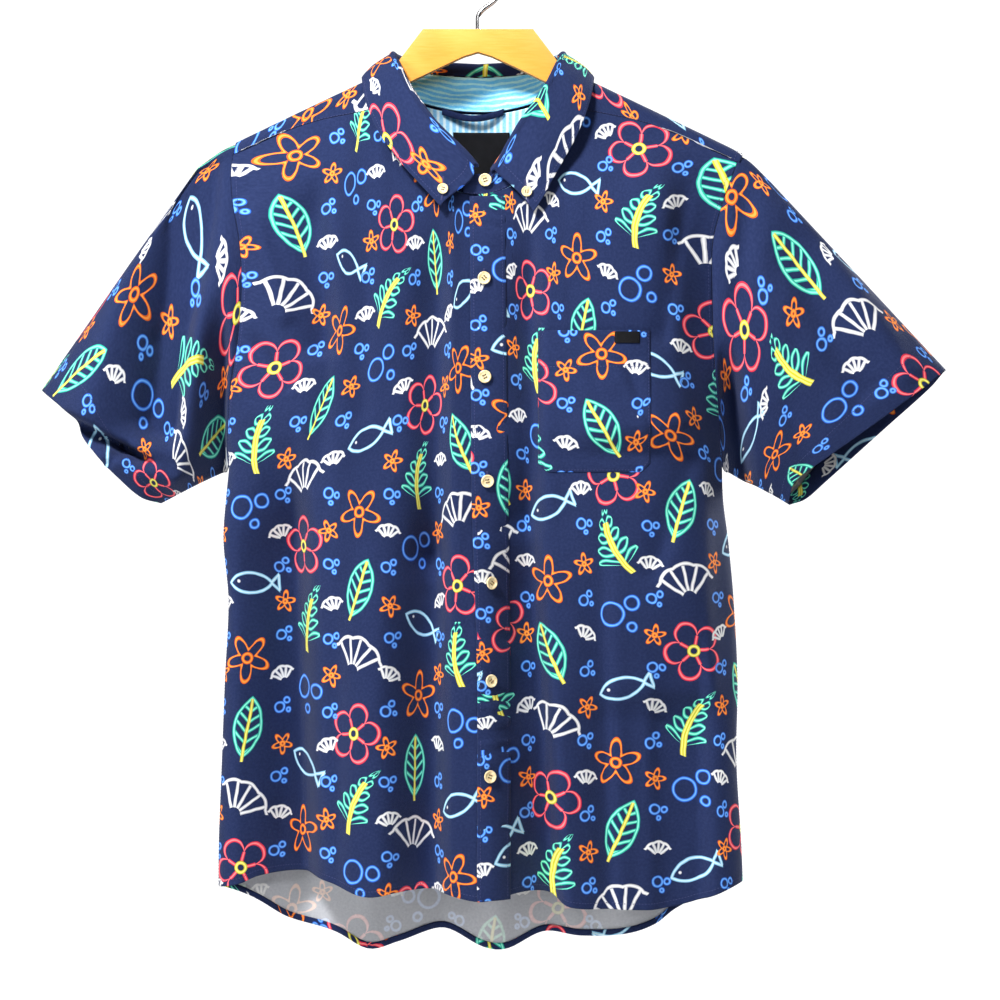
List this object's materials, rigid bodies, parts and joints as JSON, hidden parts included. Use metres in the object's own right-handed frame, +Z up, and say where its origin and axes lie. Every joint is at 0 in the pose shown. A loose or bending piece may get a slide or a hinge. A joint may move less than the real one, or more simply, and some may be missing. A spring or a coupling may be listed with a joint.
{
  "type": "short-sleeved button-down shirt on a wooden hanger",
  "caption": "Short-sleeved printed shirt with a button-down collar, chest pocket and curved tail, hanging closed on a flat wooden hanger with a wire hook.",
  "frame": {"origin": "inside top of the hanger's hook, where it hangs on a rail", "axes": "+Z up, the shirt's front faces -Y, and the wearer's left side is at +X"},
  "size_m": [0.8153, 0.1089, 0.8933],
  "materials": {
    "printed_cloth": "plain-woven cotton poplin, navy with a bright line-drawn print",
    "striped_chambray": "light blue and white striped cotton chambray",
    "black_tape": "black woven tape, plain",
    "cream_buttons": "cream four-hole resin buttons, polished",
    "blonde_wood": "blonde wood, clear satin varnish",
    "steel_wire": "plain bright steel wire"
  },
  "bodies": {
    "root": {"front_right": "printed_cloth", "front_left": "printed_cloth", "placket": "printed_cloth", "back": "printed_cloth", "yoke": "printed_cloth", "sleeve_right": "printed_cloth", "sleeve_left": "printed_cloth", "pocket": "printed_cloth", "collar_stand_outer": "printed_cloth", "collar_leaf": "printed_cloth", "hang_loop": "printed_cloth", "inner_yoke": "striped_chambray", "collar_stand_inner": "striped_chambray", "pocket_tab": "black_tape", "neck_label": "black_tape", "button_1": "cream_buttons", "button_2": "cream_buttons", "button_3": "cream_buttons", "button_4": "cream_buttons", "button_5": "cream_buttons", "button_6": "cream_buttons", "button_7": "cream_buttons", "collar_button_left": "cream_buttons", "collar_button_right": "cream_buttons", "hanger_body": "blonde_wood", "hanger_hook": "steel_wire"}
  },
  "joints": []
}
